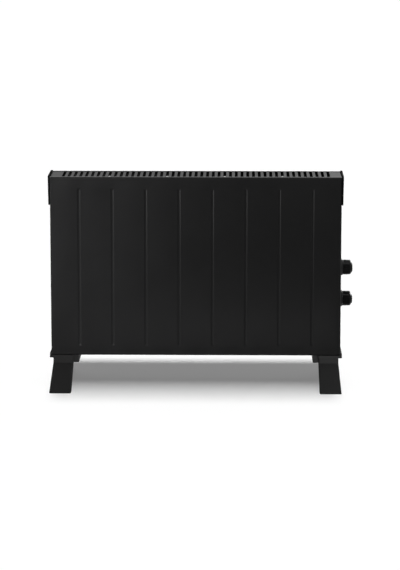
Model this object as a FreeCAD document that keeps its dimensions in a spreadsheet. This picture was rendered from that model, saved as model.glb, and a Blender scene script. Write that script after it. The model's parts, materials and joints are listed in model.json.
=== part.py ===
import FreeCAD, Part
import math
import os
import Sketcher
from FreeCAD import Placement, Rotation, Vector

# Convector heater on two moulded feet. Millimetres, +Z up, front towards -Y, standing on Z = 0.
# Every piece is drawn about the middle of the casing and then shifted along X, so that the whole
# heater, with its knobs on the right-hand end, is centred on the origin.

SIZES = {
    # casing
    "case_width": 680.0,
    "case_depth": 108.0,
    "case_height": 423.0,
    "case_base": 76.0,
    "sheet": 1.0,
    "bend_radius": 3.0,
    "panel_return": 14.0,
    "panel_lip": 12.0,
    "front_top_lip": 9.0,
    "rear_top_lip": 5.0,
    "side_flange": 12.0,
    "seat_clearance": 0.3,
    # pressed grooves of the front panel
    "groove_count": 8,
    "groove_end": 67.35,
    "groove_width": 8.0,
    "groove_floor": 3.0,
    "groove_depth": 1.8,
    "groove_run": 4.0,
    "groove_top_gap": 27.0,
    "groove_bottom_gap": 23.0,
    # outlet grille along the top
    "slot_count": 47,
    "slot_end": 30.42,
    "slot_width": 6.9,
    "slot_rim": 3.5,
    "slot_shift": 1.0,
    "grille_flange": 12.0,
    "clip_width": 5.0,
    "clip_length": 30.0,
    "clip_drop": 6.0,
    "clip_sheet": 0.8,
    "clip_count": 4,
    "clip_slots": 10,
    # intake grille under the casing
    "intake_count": 36,
    "intake_end": 95.0,
    "intake_width": 6.0,
    "intake_rim": 14.5,
    # air slots low in the rear panel
    "vent_count": 25,
    "vent_end": 100.0,
    "vent_width": 6.0,
    "vent_length": 36.0,
    "vent_height": 60.0,
    # plastic end caps with their finger grips
    "cap_drop": 65.5,
    "cap_rise": 2.5,
    "cap_proud": 3.7,
    "cap_flare": 0.9,
    "cap_corner": 8.0,
    "cap_edge": 1.2,
    "grip_length": 56.0,
    "grip_height": 24.0,
    "grip_depth": 20.0,
    "grip_wall": 2.5,
    "grip_gap": 26.0,
    "grip_corner": 5.0,
    # moulded feet
    "foot_wall": 3.0,
    "foot_knee": 57.0,
    "foot_plate": 4.0,
    "foot_edge": 2.5,
    "knee_inner_inset": 51.0,
    "knee_outer_inset": 4.0,
    "toe_inner_inset": 50.0,
    "toe_outer_reach": 1.0,
    "leg_reach": 77.0,
    "rear_leg_set": 14.0,
    "neck_inset": 1.5,
    "leg_depth_top": 28.0,
    "leg_depth_toe": 24.0,
    "sole_thickness": 4.2,
    "saddle_end_inset": 64.5,
    "saddle_inset": 8.0,
    "rim_reach": 2.2,
    "rim_top_reach": 0.6,
    "rim_drop": 6.0,
    "rim_corner": 4.0,
    "ear_reach": 4.0,
    "ear_top_reach": 0.8,
    "ear_shoulder": 3.0,
    "ear_rise": 10.0,
    "pad_diameter": 18.0,
    "pad_thickness": 3.0,
    "pad_proud": 0.6,
    # fasteners
    "foot_screw_diameter": 4.0,
    "foot_screw_length": 14.0,
    "foot_screw_inset": 23.5,
    "case_screw_diameter": 3.5,
    "case_screw_length": 8.0,
    "case_screw_inset": 40.0,
    "cap_screw_diameter": 3.0,
    "cap_screw_length": 4.0,
    "cap_screw_spread": 24.0,
    "cap_screw_height": 6.5,
    "control_screw_diameter": 3.0,
    "control_screw_length": 7.0,
    "control_screw_spread": 12.0,
    "head_ratio": 2.0,
    "head_height": 1.6,
    "hole_clearance": 0.2,
    "thread_fit": 0.05,
    # controls on the right-hand end
    "thermostat_height": 202.5,
    "selector_height": 128.0,
    "dial_diameter": 42.0,
    "dial_face_diameter": 38.0,
    "dial_thickness": 6.0,
    "dial_recess": 31.0,
    "dial_recess_depth": 2.0,
    "dial_bore": 8.0,
    "knob_gap": 0.5,
    "knob_diameter": 35.4,
    "knob_grip_diameter": 34.0,
    "knob_end_diameter": 20.0,
    "knob_collar": 3.5,
    "knob_chamfer": 5.5,
    "knob_edge": 1.0,
    "knob_length": 23.0,
    "flute_count": 24,
    "flute_diameter": 2.4,
    "flute_offset": 0.4,
    "pointer_width": 1.8,
    "pointer_length": 9.0,
    "pointer_depth": 0.6,
    "shaft_diameter": 6.0,
    "shaft_fit": 0.05,
    "shaft_in_knob": 16.0,
    "shaft_in_body": 12.0,
    "thermostat_length": 26.0,
    "thermostat_width": 34.0,
    "thermostat_tall": 30.0,
    "selector_length": 30.0,
    "selector_width": 40.0,
    "selector_tall": 32.0,
    # heating elements and the plates that carry them
    "element_height": 94.0,
    "element_spacing": 100.0,
    "element_legs": 40.0,
    "element_tube": 8.0,
    "element_left_inset": 22.0,
    "element_right_inset": 78.0,
    "fin_count": 32,
    "fin_margin": 10.0,
    "fin_depth": 34.0,
    "fin_tall": 66.0,
    "fin_sheet": 0.8,
    "bush_diameter": 14.0,
    "bush_length": 6.0,
    "bush_fit": 0.1,
    "stud_diameter": 4.0,
    "stud_length": 16.0,
    "nut_diameter": 8.0,
    "nut_length": 3.0,
    "plate_sheet": 1.2,
    "plate_flange": 12.0,
    "bracket_inset": 60.0,
    "bracket_tall": 254.0,
    "bracket_gap": 4.5,
    "shield_inset": 104.0,
    "shield_top_gap": 18.0,
    "shield_gap": 0.5,
    # electrical pieces
    "cutout_diameter": 16.0,
    "cutout_length": 10.0,
    "cutout_height": 330.0,
    "block_inset": 50.0,
    "block_length": 40.0,
    "block_width": 18.0,
    "block_tall": 20.0,
    "gland_inset": 40.0,
    "gland_height": 34.0,
    "gland_barrel": 12.6,
    "gland_flange": 20.0,
    "gland_bore": 7.4,
    "gland_outside": 4.0,
    "gland_inside": 6.0,
    "wire_diameter": 2.6,
    "wire_bend": 8.0,
    "wire_step": 4.0,
    "live_lane": 48.0,
    "thermostat_lane": 38.0,
    "selector_lane": 42.0,
    "element_lane": 50.0,
    "earth_lane": 66.0,
    "earth_height": 40.0,
}

SHEET_NAME = "dims"

doc = FreeCAD.newDocument("convector_heater")
sheet = doc.addObject("Spreadsheet::Sheet", SHEET_NAME)
for line, (alias, amount) in enumerate(SIZES.items(), 1):
    sheet.set(f"A{line}", alias)
    sheet.set(f"B{line}", str(amount))
    sheet.setAlias(f"B{line}", alias)
doc.recompute()


class Size:
    """A length that keeps its number together with the sheet formula it comes from."""

    def __init__(self, value, formula):
        self.value = value
        self.formula = formula

    def __add__(self, other):
        other = as_size(other)
        return Size(self.value + other.value, f"({self.formula} + {other.formula})")

    def __sub__(self, other):
        other = as_size(other)
        return Size(self.value - other.value, f"({self.formula} - {other.formula})")

    def __mul__(self, other):
        other = as_size(other)
        return Size(self.value * other.value, f"({self.formula} * {other.formula})")

    def __truediv__(self, other):
        other = as_size(other)
        return Size(self.value / other.value, f"({self.formula} / {other.formula})")

    def __neg__(self):
        return Size(-self.value, f"(-1 * {self.formula})")

    def __radd__(self, other):
        return as_size(other) + self

    def __rsub__(self, other):
        return as_size(other) - self

    def __rmul__(self, other):
        return as_size(other) * self


def as_size(amount):
    if isinstance(amount, Size):
        return amount
    return Size(float(amount), str(float(amount)))


def larger(one, other):
    return Size(max(one.value, other.value), f"max({one.formula}; {other.formula})")


def dim(alias):
    return Size(float(sheet.get(alias)), f"{SHEET_NAME}.{alias}")


# Places that several pieces share
half_width = dim("case_width") / 2
half_depth = dim("case_depth") / 2
case_base = dim("case_base")
case_top = case_base + dim("case_height")
metal = dim("sheet")
inner_bend = dim("bend_radius") - metal
grille_half = half_depth - metal - inner_bend
side_outer = half_width - metal
side_inner = side_outer - metal
floor_top = case_base + metal + metal
grille_face = case_top - metal
ceiling = grille_face - metal
thermostat_z = case_base + dim("thermostat_height")
selector_z = case_base + dim("selector_height")
dial_face = side_outer + dim("dial_thickness")
knob_base = dial_face + dim("knob_gap")
knob_end = knob_base + dim("knob_length")
knee_inner = half_width - dim("knee_inner_inset")
knee_outer = half_width - dim("knee_outer_inset")
toe_inner = half_width - dim("toe_inner_inset")
toe_outer = half_width + dim("toe_outer_reach")
saddle_end = half_width - dim("saddle_end_inset")
neck_half = half_depth - dim("neck_inset")
bracket_x = half_width - dim("bracket_inset")
shield_x = half_width - dim("shield_inset")
shield_face = shield_x + dim("plate_sheet")
element_end = half_width - dim("element_right_inset")
block_x = half_width - dim("block_inset")
gland_x = half_width - dim("gland_inset")
gland_z = case_base + dim("gland_height")
groove_pitch = (dim("case_width") - 2 * dim("groove_end")) / (dim("groove_count") - 1)
slot_pitch = (dim("case_width") - 2 * dim("slot_end")) / (dim("slot_count") - 1)
intake_pitch = (dim("case_width") - 2 * dim("intake_end")) / (dim("intake_count") - 1)
vent_pitch = (dim("case_width") - 2 * dim("vent_end")) / (dim("vent_count") - 1)
fin_pitch = (bracket_x + shield_x - 2 * dim("fin_margin")) / (dim("fin_count") - 1)
left_reach = half_width + larger(dim("ear_reach"), dim("cap_proud") + dim("cap_flare"))
casing_x = (left_reach - knob_end) / 2

NOTHING = as_size(0)
TOLERANCE = 0.001

nodes = []


# Helpers for drawing

def bind(thing, prop, amount):
    thing.setExpression(prop, as_size(amount).formula)


def as_node(piece, label, height=0.0):
    """Names a finished piece and sets it in its place in the heater."""
    piece.Label = label
    bind(piece, "Placement.Base.x", casing_x)
    bind(piece, "Placement.Base.z", height)
    nodes.append(piece)
    return piece


def new_body(label, height=0.0):
    return as_node(doc.addObject("PartDesign::Body", label), label, height)


def origin_part(body, role):
    return [part for part in body.Origin.OriginFeatures if part.Role == role][0]


def sketch_on(body, role, offset=0.0):
    """A sketch on one of the body's own planes, moved along that plane's normal."""
    sketch = body.newObject("Sketcher::SketchObject", f"{body.Name}_sketch")
    sketch.AttachmentSupport = [(origin_part(body, role), "")]
    sketch.MapMode = "FlatFace"
    bind(sketch, "AttachmentOffset.Base.z", offset)
    return sketch


def fix_point(sketch, item, end, x, y):
    """Ties a point of the sketch to its two coordinates."""
    for kind, amount in (("DistanceX", as_size(x)), ("DistanceY", as_size(y))):
        rule = sketch.addConstraint(Sketcher.Constraint(kind, -1, 1, item, end, amount.value))
        sketch.setExpression(f"Constraints[{rule}]", amount.formula)


def point(x, y):
    return Vector(as_size(x).value, as_size(y).value, 0)


def outline(sketch, corners):
    """A closed outline of straight lines through the corners."""
    first = sketch.GeometryCount
    count = len(corners)
    for place in range(count):
        start = point(*corners[place])
        end = point(*corners[(place + 1) % count])
        sketch.addGeometry(Part.LineSegment(start, end), False)
    for place in range(count):
        following = first + (place + 1) % count
        sketch.addConstraint(Sketcher.Constraint("Coincident", first + place, 2, following, 1))
    for place, (x, y) in enumerate(corners):
        fix_point(sketch, first + place, 1, x, y)


def rectangle(sketch, x0, y0, x1, y1):
    outline(sketch, [(x0, y0), (x1, y0), (x1, y1), (x0, y1)])


def circle(sketch, x, y, radius):
    item = sketch.addGeometry(Part.Circle(point(x, y), Vector(0, 0, 1), radius.value), False)
    fix_point(sketch, item, 3, x, y)
    rule = sketch.addConstraint(Sketcher.Constraint("Radius", item, radius.value))
    sketch.setExpression(f"Constraints[{rule}]", radius.formula)


def upright_slot(sketch, x, y, width, length):
    """A slot with round ends, its length along the sketch's own vertical."""
    radius = width / 2
    reach = length / 2 - radius
    upper = Part.ArcOfCircle(Part.Circle(point(x, y + reach), Vector(0, 0, 1), radius.value), 0, math.pi)
    lower = Part.ArcOfCircle(
        Part.Circle(point(x, y - reach), Vector(0, 0, 1), radius.value), math.pi, 2 * math.pi)
    left = Part.LineSegment(point(x - radius, y + reach), point(x - radius, y - reach))
    right = Part.LineSegment(point(x + radius, y - reach), point(x + radius, y + reach))
    items = [sketch.addGeometry(item, False) for item in (upper, left, lower, right)]
    for place in range(4):
        following = items[(place + 1) % 4]
        sketch.addConstraint(Sketcher.Constraint("Tangent", items[place], 2, following, 1))
    fix_point(sketch, items[0], 3, x, y + reach)
    fix_point(sketch, items[2], 3, x, y - reach)
    rule = sketch.addConstraint(Sketcher.Constraint("Radius", items[0], radius.value))
    sketch.setExpression(f"Constraints[{rule}]", radius.formula)


def pad(body, sketch, length, back=False):
    feature = body.newObject("PartDesign::Pad", f"{body.Name}_pad")
    feature.Profile = sketch
    feature.Reversed = back
    bind(feature, "Length", length)
    return feature


def must_shrink(body, before, what):
    doc.recompute()
    if body.Shape.Volume >= before:
        raise RuntimeError(f"{body.Label}: {what} takes nothing away")


def pocket(body, sketch, length, back=False):
    """Takes the sketch's area away, against its plane's normal, or along it if back is set."""
    doc.recompute()
    before = body.Shape.Volume
    feature = body.newObject("PartDesign::Pocket", f"{body.Name}_pocket")
    feature.Profile = sketch
    feature.Reversed = back
    bind(feature, "Length", length)
    must_shrink(body, before, feature.Name)
    return feature


def loft(body, start, end, away=False):
    """Joins two sketches by straight walls, as material or as a hollow."""
    doc.recompute()
    before = body.Shape.Volume if away else None
    kind = "PartDesign::SubtractiveLoft" if away else "PartDesign::AdditiveLoft"
    feature = body.newObject(kind, f"{body.Name}_loft")
    feature.Profile = start
    feature.Sections = [end]
    feature.Ruled = True
    if away:
        must_shrink(body, before, feature.Name)
    return feature


def row(body, features, role, step, count):
    """Repeats features along one of the body's axes."""
    feature = body.newObject("PartDesign::LinearPattern", f"{body.Name}_row")
    feature.Originals = features
    feature.Direction = (origin_part(body, role), [""])
    feature.Refine = False
    bind(feature, "Length", step * (count - 1))
    bind(feature, "Occurrences", count)
    body.Tip = feature
    doc.recompute()
    return feature


def round_edges(body, radius, wanted):
    """Rounds those edges of the body that the test picks."""
    doc.recompute()
    base = body.Tip
    names = [f"Edge{place}" for place, edge in enumerate(base.Shape.Edges, 1) if wanted(edge)]
    feature = body.newObject("PartDesign::Fillet", f"{body.Name}_fillet")
    feature.Base = (base, names)
    bind(feature, "Radius", radius)
    return feature


def runs_at(edge, **places):
    """True where the whole edge lies at the given coordinates."""
    for letter, amount in places.items():
        for corner in edge.Vertexes:
            if abs(getattr(corner.Point, letter) - amount.value) > TOLERANCE:
                return False
    return True


def block(low, high):
    """A box from its lowest to its highest corner."""
    box = doc.addObject("Part::Box", "block")
    for prop, start, end in zip(("Length", "Width", "Height"), low, high):
        bind(box, prop, end - start)
    for letter, start in zip("xyz", low):
        bind(box, f"Placement.Base.{letter}", start)
    return box


TURN_TO = {
    "x": Rotation(Vector(0, 1, 0), 90),
    "y": Rotation(Vector(1, 0, 0), -90),
    "z": Rotation(),
}


def rod(axis, start, radius, length):
    """A round bar that runs from start along an axis."""
    bar = doc.addObject("Part::Cylinder", "rod")
    bar.Placement = Placement(Vector(0, 0, 0), TURN_TO[axis])
    bind(bar, "Radius", radius)
    bind(bar, "Height", length)
    for letter, amount in zip("xyz", start):
        bind(bar, f"Placement.Base.{letter}", amount)
    return bar


def cone(axis, start, start_radius, end_radius, length):
    """A round bar that narrows from start along an axis."""
    taper = doc.addObject("Part::Cone", "cone")
    taper.Placement = Placement(Vector(0, 0, 0), TURN_TO[axis])
    bind(taper, "Radius1", start_radius)
    bind(taper, "Radius2", end_radius)
    bind(taper, "Height", length)
    for letter, amount in zip("xyz", start):
        bind(taper, f"Placement.Base.{letter}", amount)
    return taper


def together(pieces):
    joined = doc.addObject("Part::Compound", "together")
    joined.Links = pieces
    return joined


def fused(pieces):
    whole = doc.addObject("Part::MultiFuse", "fused")
    whole.Shapes = pieces
    return whole


def cut(base, tools):
    rest = doc.addObject("Part::Cut", "cut")
    rest.Base = base
    rest.Tool = together(tools)
    return rest


def screw(axis, head_start, diameter, length, head_first):
    """A round-headed screw along an axis: its head lies first or last along it."""
    head = dim("head_height")
    head_radius = diameter * dim("head_ratio") / 2
    x, y, z = head_start
    along = "xyz".index(axis)
    shank_start = [x, y, z]
    shank_start[along] = shank_start[along] + (head if head_first else -1 * length)
    return fused([
        rod(axis, (x, y, z), head_radius, head),
        rod(axis, shank_start, diameter / 2, length),
    ])


# Sheet-metal casing

def folded_panel(label, front, top_lip):
    """A tray with a return along each end and a lip along bottom and top; front is -1, rear is 1."""
    body = new_body(label)
    face = front * half_depth
    inside = face - front * metal
    edge = face - front * dim("panel_return")
    tray = sketch_on(body, "XY_Plane", case_base)
    outline(tray, [
        (-half_width, edge), (-half_width, face), (half_width, face), (half_width, edge),
        (side_outer, edge), (side_outer, inside), (-side_outer, inside), (-side_outer, edge),
    ])
    pad(body, tray, dim("case_height"))
    for bottom, reach in ((case_base, dim("panel_lip")), (grille_face, top_lip)):
        lip = sketch_on(body, "XY_Plane", bottom)
        rectangle(lip, -side_outer, inside, side_outer, face - front * reach)
        pad(body, lip, metal)
    round_edges(body, dim("bend_radius"), lambda e: (
        runs_at(e, x=half_width, y=face) or runs_at(e, x=-half_width, y=face)
        or runs_at(e, y=face, z=case_top) or runs_at(e, y=face, z=case_base)))
    round_edges(body, inner_bend, lambda e: (
        runs_at(e, x=side_outer, y=inside) or runs_at(e, x=-side_outer, y=inside)
        or runs_at(e, y=inside, z=grille_face) or runs_at(e, y=inside, z=case_base + metal)))
    return body


def front_panel():
    """The pressed front: each groove is a hollow in the face with a ridge behind it."""
    body = folded_panel("front_panel", -1, dim("front_top_lip"))
    first = dim("groove_end") - half_width
    low = case_base + dim("groove_bottom_gap")
    high = case_top - dim("groove_top_gap")
    run = dim("groove_run")

    def stadium(depth, width, shorter):
        sketch = sketch_on(body, "XZ_Plane", half_depth - depth)
        rectangle(sketch, first - width / 2, low + shorter, first + width / 2, high - shorter)
        return sketch

    ridge = loft(
        body,
        stadium(metal, dim("groove_width"), NOTHING),
        stadium(dim("groove_depth") + metal, dim("groove_floor") + metal, run - metal),
    )
    groove = loft(
        body,
        stadium(NOTHING, dim("groove_width"), NOTHING),
        stadium(dim("groove_depth"), dim("groove_floor"), run),
        away=True,
    )
    row(body, [ridge, groove], "X_Axis", groove_pitch, dim("groove_count"))


def rear_panel():
    body = folded_panel("rear_panel", 1, dim("rear_top_lip"))
    doc.recompute()
    vents = sketch_on(body, "XZ_Plane", -half_depth)
    first = dim("vent_end") - half_width
    upright_slot(vents, first, case_base + dim("vent_height"), dim("vent_width"), dim("vent_length"))
    vent = pocket(body, vents, metal, back=True)
    row(body, [vent], "X_Axis", vent_pitch, dim("vent_count"))
    holes = sketch_on(body, "XZ_Plane", -half_depth)
    circle(holes, gland_x, gland_z, dim("gland_barrel") / 2 + dim("hole_clearance"))
    for x, z in case_screw_places():
        circle(holes, x, z, dim("case_screw_diameter") / 2 + dim("hole_clearance"))
    pocket(body, holes, metal, back=True)


def case_screw_places():
    """Where the rear panel is screwed to the flanges of the two end plates."""
    middle = (case_base + case_top) / 2
    reach = dim("case_height") / 2 - dim("case_screw_inset")
    for side in (-1, 1):
        for z in (middle - reach, middle, middle + reach):
            yield side * (side_inner - dim("side_flange") / 2), z


def grille_plate(label, bottom, half_x, half_y, count, pitch, width, length, shift):
    """A flat plate with a row of slots that run from front to back."""
    body = new_body(label)
    plate = sketch_on(body, "XY_Plane", bottom)
    rectangle(plate, -half_x, -half_y, half_x, half_y)
    pad(body, plate, metal)
    slots = sketch_on(body, "XY_Plane", bottom)
    upright_slot(slots, pitch * (count - 1) / -2, shift, width, length)
    slot = pocket(body, slots, metal, back=True)
    row(body, [slot], "X_Axis", pitch, count)
    return body


def top_grille():
    slot_length = (grille_half - dim("slot_rim")) * 2
    body = grille_plate(
        "top_grille", ceiling, side_outer, grille_half,
        dim("slot_count"), slot_pitch, dim("slot_width"), slot_length, dim("slot_shift"))
    reach = side_inner - dim("side_flange") - dim("seat_clearance")
    for front in (-1, 1):
        flange = sketch_on(body, "XY_Plane", ceiling)
        outer = front * grille_half
        rectangle(flange, -reach, outer, reach, outer - front * metal)
        pad(body, flange, dim("grille_flange"), back=True)


def bottom_grille():
    slot_length = (grille_half - dim("intake_rim")) * 2
    body = grille_plate(
        "bottom_grille", case_base + metal, side_inner, grille_half,
        dim("intake_count"), intake_pitch, dim("intake_width"), slot_length, NOTHING)
    holes = sketch_on(body, "XY_Plane", case_base + metal)
    for x, y in foot_screw_places():
        circle(holes, x, y, dim("foot_screw_diameter") / 2 + dim("hole_clearance"))
    pocket(body, holes, metal, back=True)


def side_panel(label, side):
    """An end plate with flanges turned in at the front, the rear and the top."""
    body = new_body(label)
    outer = side * side_outer
    inner = side * side_inner
    room = dim("seat_clearance")
    half_y = half_depth - metal
    bottom = case_base + metal + inner_bend + room
    top = grille_face - inner_bend - room
    plate = sketch_on(body, "XY_Plane", bottom)
    flange_end = inner - side * dim("side_flange")
    outline(plate, [
        (outer, -half_y), (outer, half_y), (flange_end, half_y), (flange_end, half_y - metal),
        (inner, half_y - metal), (inner, metal - half_y), (flange_end, metal - half_y),
        (flange_end, -half_y),
    ])
    pad(body, plate, top - bottom)
    round_edges(body, inner_bend + room, lambda e: (
        runs_at(e, x=outer, y=half_y) or runs_at(e, x=outer, y=-half_y)))
    round_edges(body, inner_bend + room - metal, lambda e: (
        runs_at(e, x=inner, y=half_y - metal) or runs_at(e, x=inner, y=metal - half_y)))
    top_flange = sketch_on(body, "XY_Plane", top)
    corner = half_y - metal - inner_bend - room
    rectangle(top_flange, inner, -corner, flange_end, corner)
    pad(body, top_flange, metal, back=True)
    holes = sketch_on(body, "YZ_Plane", inner)
    grip_low, grip_high = grip_heights()
    grip_half = dim("grip_length") / 2 + dim("grip_wall") + room
    wall = dim("grip_wall") + room
    rectangle(holes, -grip_half, grip_low - wall, grip_half, grip_high + wall)
    for y, z in cap_screw_places():
        circle(holes, y, z, dim("cap_screw_diameter") / 2 + dim("hole_clearance"))
    if side > 0:
        for z in (thermostat_z, selector_z):
            circle(holes, NOTHING, z, dim("dial_bore") / 2)
            for y in control_screw_places():
                circle(holes, y, z, dim("control_screw_diameter") / 2 + dim("hole_clearance"))
    pocket(body, holes, metal, back=side > 0)
    flange_holes = sketch_on(body, "XZ_Plane", metal - half_y)
    for x, z in case_screw_places():
        if (x.value > 0) == (side > 0):
            circle(flange_holes, x, z, dim("case_screw_diameter") / 2 + dim("hole_clearance"))
    pocket(body, flange_holes, metal)


# Plastic end caps

def grip_heights():
    high = case_top - dim("grip_gap")
    return high - dim("grip_height"), high


def cap_screw_places():
    bottom = case_top - dim("cap_drop")
    for y in (-dim("cap_screw_spread"), dim("cap_screw_spread")):
        yield y, bottom + dim("cap_screw_height")


def end_cap(label, side):
    """A flared plate over the upper end of the casing, with a cup to lift it by."""
    body = new_body(label)
    low = case_top - dim("cap_drop")
    high = case_top + dim("cap_rise")
    seat = side * half_width
    outer = side * (half_width + dim("cap_proud"))
    flared = side * (half_width + dim("cap_proud") + dim("cap_flare"))
    plate = sketch_on(body, "XZ_Plane", -half_depth)
    outline(plate, [(seat, low), (outer, low), (flared, high), (seat, high)])
    pad(body, plate, dim("case_depth"))
    round_edges(body, dim("cap_corner"),
                lambda e: runs_at(e, y=half_depth, z=high) or runs_at(e, y=-half_depth, z=high))

    def on_outer_face(edge):
        slope = (flared.value - outer.value) / (high.value - low.value)
        offsets = [v.Point.x - outer.value - slope * (v.Point.z - low.value) for v in edge.Vertexes]
        return max(abs(offset) for offset in offsets) < TOLERANCE

    round_edges(body, dim("cap_edge"), on_outer_face)
    room = dim("seat_clearance")
    back_half = half_depth - dim("panel_return") - room
    back = sketch_on(body, "YZ_Plane", seat)
    rectangle(back, -back_half, low, back_half, ceiling - room)
    pad(body, back, metal, back=side > 0)
    grip_low, grip_high = grip_heights()
    half = dim("grip_length") / 2
    wall = dim("grip_wall")
    cup = sketch_on(body, "YZ_Plane", side * side_outer)
    rectangle(cup, -half - wall, grip_low - wall, half + wall, grip_high + wall)
    pad(body, cup, dim("grip_depth"), back=side > 0)
    hollow = sketch_on(body, "YZ_Plane", flared)
    rectangle(hollow, -half, grip_low, half, grip_high)
    to_floor = dim("cap_proud") + dim("cap_flare") + metal + dim("grip_depth") - wall
    pocket(body, hollow, to_floor, back=side < 0)
    round_edges(body, dim("grip_corner"), lambda e: any(
        runs_at(e, y=y, z=z) for y in (-half, half) for z in (grip_low, grip_high)))
    holes = sketch_on(body, "YZ_Plane", side * side_outer)
    for y, z in cap_screw_places():
        circle(holes, y, z, dim("cap_screw_diameter") / 2 + dim("thread_fit"))
    pocket(body, holes, dim("cap_screw_length") - metal, back=side > 0)


# Moulded feet

def foot_screw_places():
    for side in (-1, 1):
        for front in (-1, 1):
            yield side * (knee_inner + knee_outer) / 2, front * (half_depth - dim("foot_screw_inset"))


def pad_place(side, front):
    inner, outer, face, depth = leg_sizes(front, as_size(1))
    return side * (inner + outer) / 2, front * (face - depth / 2)


def leg_section(body, side, front, share, height):
    """A cross-section of one leg: share runs from 0 at the knee to 1 at the toe."""
    inner, outer, face, depth = leg_sizes(front, share)
    edge = dim("foot_edge")
    sketch = sketch_on(body, "XY_Plane", height)
    outline(sketch, [
        (side * (inner + edge), front * face), (side * (outer - edge), front * face),
        (side * outer, front * (face - edge)), (side * outer, front * (face - depth)),
        (side * inner, front * (face - depth)), (side * inner, front * (face - edge)),
    ])
    return sketch


def leg_hollow(body, side, front, share, height):
    """A cross-section of the room inside a leg, which is open at the back."""
    inner, outer, face, depth = leg_sizes(front, share)
    wall = dim("foot_wall")
    sketch = sketch_on(body, "XY_Plane", height)
    rectangle(sketch, side * (inner + wall), front * (face - wall),
              side * (outer - wall), front * (face - depth - wall))
    return sketch


def leg_sizes(front, share):
    """Where a leg lies at a share of its way down; the rear legs are set in from the front ones."""
    def between(top, toe):
        return top + (toe - top) * share

    inner = between(knee_inner, toe_inner)
    if front > 0:
        inner = inner + dim("rear_leg_set")
    outer = between(knee_outer, toe_outer)
    face = between(neck_half, half_depth + dim("leg_reach"))
    depth = between(dim("leg_depth_top"), dim("leg_depth_toe"))
    return inner, outer, face, depth


def rim_section(body, side, height, reach):
    """A cross-section of the rim that the casing stands on, around the front, end and rear."""
    y = half_depth + reach
    outer = half_width + dim("ear_reach")
    corner = dim("rim_corner")
    sketch = sketch_on(body, "XY_Plane", height)
    outline(sketch, [
        (side * knee_inner, -y), (side * (outer - corner), -y), (side * outer, corner - y),
        (side * outer, y - corner), (side * (outer - corner), y), (side * knee_inner, y),
    ])
    return sketch


def foot(label, side):
    """A hollow moulding: a saddle under the casing with a splayed leg to each side."""
    body = new_body(label)
    knee = dim("foot_knee")
    wall = dim("foot_wall")
    inset_half = half_depth - dim("saddle_inset")
    saddle = sketch_on(body, "XY_Plane", knee)
    edge = dim("foot_edge")
    soft_half = neck_half - edge
    outline(saddle, [
        (side * (knee_inner + edge), -neck_half), (side * (knee_outer - edge), -neck_half),
        (side * knee_outer, -soft_half), (side * knee_outer, soft_half),
        (side * (knee_outer - edge), neck_half), (side * (knee_inner + edge), neck_half),
        (side * knee_inner, soft_half), (side * knee_inner, -soft_half),
    ])
    pad(body, saddle, case_base - knee)
    inner_end = sketch_on(body, "XY_Plane", knee)
    rectangle(inner_end, side * saddle_end, -inset_half, side * knee_inner, inset_half)
    pad(body, inner_end, case_base - knee)
    rim_low = rim_section(body, side, case_base - dim("rim_drop"), dim("rim_reach"))
    rim_high = rim_section(body, side, case_base, dim("rim_top_reach"))
    loft(body, rim_low, rim_high)
    ear = sketch_on(body, "XZ_Plane", -inset_half)
    outline(ear, [
        (side * half_width, case_base - dim("foot_plate")),
        (side * (half_width + dim("ear_reach")), case_base - dim("foot_plate")),
        (side * (half_width + dim("ear_reach")), case_base + dim("ear_shoulder")),
        (side * (half_width + dim("ear_top_reach")), case_base + dim("ear_rise")),
        (side * half_width, case_base + dim("ear_rise")),
    ])
    pad(body, ear, inset_half * 2)
    sole = dim("pad_proud")
    sole_top = sole + dim("sole_thickness")
    hollow_share = (knee - sole_top) / (knee - sole)
    for front in (-1, 1):
        top = leg_section(body, side, front, NOTHING, knee)
        toe = leg_section(body, side, front, as_size(1), sole)
        loft(body, top, toe)
    for front in (-1, 1):
        hollow_top = leg_hollow(body, side, front, NOTHING, knee)
        hollow_toe = leg_hollow(body, side, front, hollow_share, sole_top)
        loft(body, hollow_top, hollow_toe, away=True)
        under = sketch_on(body, "XY_Plane", knee)
        rectangle(under, side * (knee_inner + wall), front * wall / 2,
                  side * (knee_outer - wall), front * (neck_half - wall))
        pocket(body, under, case_base - knee - dim("foot_plate"), back=True)
        recess = sketch_on(body, "XY_Plane", sole)
        x, y = pad_place(side, front)
        circle(recess, x, y, dim("pad_diameter") / 2 + dim("hole_clearance"))
        pocket(body, recess, dim("pad_thickness") - sole, back=True)
    holes = sketch_on(body, "XY_Plane", case_base)
    for x, y in foot_screw_places():
        if (x.value > 0) == (side > 0):
            circle(holes, x, y, dim("foot_screw_diameter") / 2 + dim("hole_clearance"))
    pocket(body, holes, dim("foot_plate"), back=False)


def foot_pads():
    pads = []
    for side in (-1, 1):
        for front in (-1, 1):
            x, y = pad_place(side, front)
            pads.append(rod("z", (x, y, NOTHING), dim("pad_diameter") / 2, dim("pad_thickness")))
    as_node(together(pads), "foot_pads")


# Fasteners

def screws():
    head = dim("head_height")
    plate_under = case_base - dim("foot_plate")
    as_node(together([
        screw("z", (x, y, plate_under - head), dim("foot_screw_diameter"),
              dim("foot_screw_length"), head_first=True)
        for x, y in foot_screw_places()
    ]), "foot_screws")
    as_node(together([
        screw("y", (x, half_depth, z), dim("case_screw_diameter"),
              dim("case_screw_length"), head_first=False)
        for x, z in case_screw_places()
    ]), "case_screws")
    cap = []
    for y, z in cap_screw_places():
        cap.append(screw("x", (side_inner - head, y, z), dim("cap_screw_diameter"),
                         dim("cap_screw_length"), head_first=True))
        cap.append(screw("x", (-side_inner, y, z), dim("cap_screw_diameter"),
                         dim("cap_screw_length"), head_first=False))
    as_node(together(cap), "cap_screws")
    as_node(together([
        screw("x", (side_outer, y, z), dim("control_screw_diameter"),
              dim("control_screw_length"), head_first=False)
        for z in (thermostat_z, selector_z)
        for y in control_screw_places()
    ]), "control_screws")


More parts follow.
